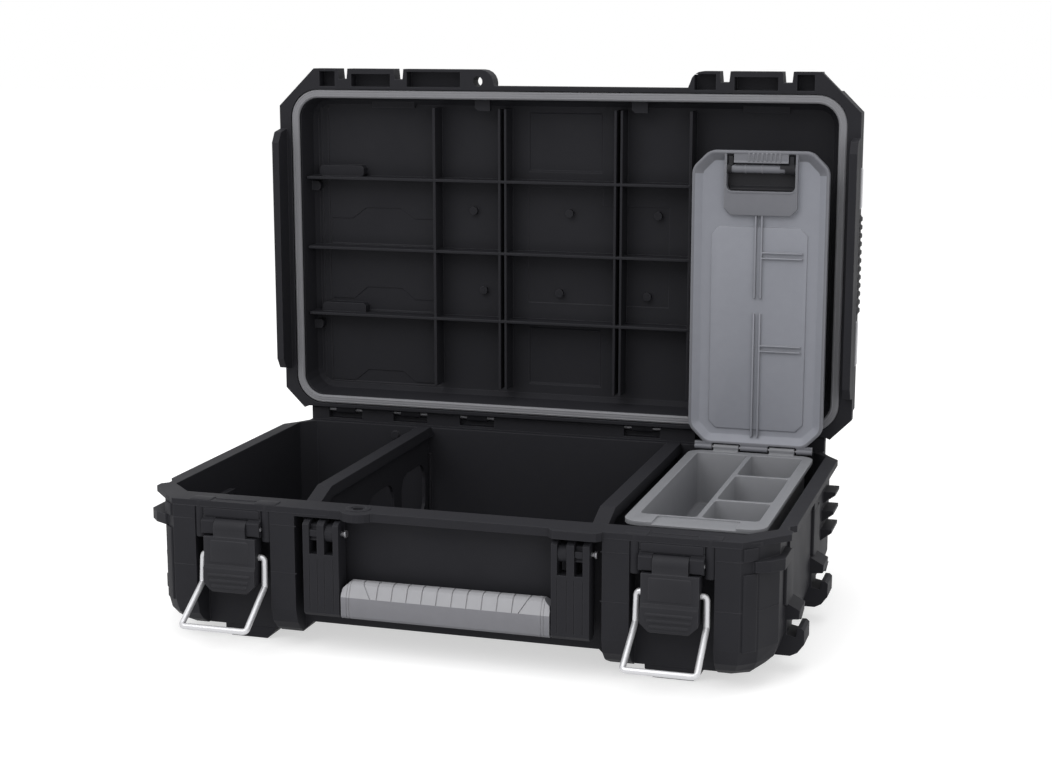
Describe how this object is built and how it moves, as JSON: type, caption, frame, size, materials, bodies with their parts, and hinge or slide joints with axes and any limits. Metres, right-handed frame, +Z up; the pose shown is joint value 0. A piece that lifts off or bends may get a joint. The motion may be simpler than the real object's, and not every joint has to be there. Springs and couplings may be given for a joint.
{
  "type": "tool box",
  "caption": "Stackable black tool box with a ribbed lid, gasket, toggle latches, folding handle, dividers and a lidded organizer bin.",
  "frame": {"origin": "middle of the box on the floor it stands on, under the centre of its outline with the lid open", "axes": "+X to the right as seen from the latches, +Y from the latches to the hinges, +Z up; the lid stands open at a right angle at rest"},
  "size_m": [0.565, 0.4261, 0.4716],
  "materials": {
    "black_plastic": "satin moulded polypropylene with a fine texture",
    "grey_plastic": "satin moulded polypropylene",
    "grip_rubber": "soft matt grip",
    "gasket_rubber": "smooth matt bead",
    "light_plastic": "light grey inlay",
    "tread_rubber": "matt black ribbed pad",
    "steel": "plain bright pin",
    "zinc_wire": "zinc plated wire"
  },
  "bodies": {
    "base": {"base_shell": "black_plastic", "hinge_pin_left": "steel", "hinge_pin_right": "steel", "latch_pin_left": "steel", "latch_pin_right": "steel", "handle_pin_left": "steel", "handle_pin_right": "steel"},
    "lid": {"lid_shell": "black_plastic", "lid_gasket": "gasket_rubber", "lid_tread_pad_left": "tread_rubber", "lid_tread_pad_right": "tread_rubber", "lid_edge_strip_rear_left": "light_plastic", "lid_edge_strip_front_left": "light_plastic", "lid_edge_strip_rear_right": "light_plastic", "lid_edge_strip_front_right": "light_plastic"},
    "lever_left": {"latch_lever_left": "black_plastic"},
    "lever_right": {"latch_lever_right": "black_plastic"},
    "bail_left": {"latch_bail_left": "zinc_wire"},
    "bail_right": {"latch_bail_right": "zinc_wire"},
    "handle": {"handle_frame": "black_plastic", "handle_grip": "grip_rubber"},
    "divider_left": {"divider_left": "black_plastic"},
    "divider_right": {"divider_right": "black_plastic"},
    "bin": {"organizer_bin": "grey_plastic", "organizer_hinge_pin": "steel"},
    "cover": {"organizer_lid": "grey_plastic"},
    "cover_latch": {"organizer_latch": "black_plastic"}
  },
  "joints": [
    {"name": "lid_hinge", "type": "hinge", "parent": "base", "child": "lid", "pos_m": [0, 0.1664, 0.1336], "axis": [-1, 0, 0], "range_deg": [-90, 0]},
    {"name": "lever_left_pivot", "type": "hinge", "parent": "base", "child": "lever_left", "pos_m": [-0.187, -0.172, 0.1019], "axis": [-1, 0, 0], "range_deg": [0, 110]},
    {"name": "lever_right_pivot", "type": "hinge", "parent": "base", "child": "lever_right", "pos_m": [0.187, -0.172, 0.1019], "axis": [-1, 0, 0], "range_deg": [0, 110]},
    {"name": "bail_left_pivot", "type": "hinge", "parent": "lever_left", "child": "bail_left", "pos_m": [-0.187, -0.1705, 0.0774], "axis": [1, 0, 0], "range_deg": [-141.5, 0]},
    {"name": "bail_right_pivot", "type": "hinge", "parent": "lever_right", "child": "bail_right", "pos_m": [0.187, -0.1705, 0.0774], "axis": [1, 0, 0], "range_deg": [-141.5, 0]},
    {"name": "handle_pivot", "type": "hinge", "parent": "base", "child": "handle", "pos_m": [0, -0.168, 0.103], "axis": [-1, 0, 0], "range_deg": [0, 90]},
    {"name": "divider_left_lift", "type": "slide", "parent": "base", "child": "divider_left", "axis": [0, 0, 1], "range_m": [0, 0.08]},
    {"name": "divider_right_lift", "type": "slide", "parent": "base", "child": "divider_right", "axis": [0, 0, 1], "range_m": [0, 0.08]},
    {"name": "bin_lift", "type": "slide", "parent": "base", "child": "bin", "axis": [0, 0, 1], "range_m": [0, 0.08]},
    {"name": "cover_hinge", "type": "hinge", "parent": "bin", "child": "cover", "pos_m": [0.197, 0.134, 0.1274], "axis": [-1, 0, 0], "range_deg": [-90, 0]},
    {"name": "cover_latch_pivot", "type": "hinge", "parent": "cover", "child": "cover_latch", "pos_m": [0.197, 0.1365, 0.3855], "axis": [1, 0, 0], "range_deg": [0, 20]}
  ],
  "couplings": [
    {"joint": "cover_hinge", "follows": "lid_hinge", "ratio": 1}
  ]
}
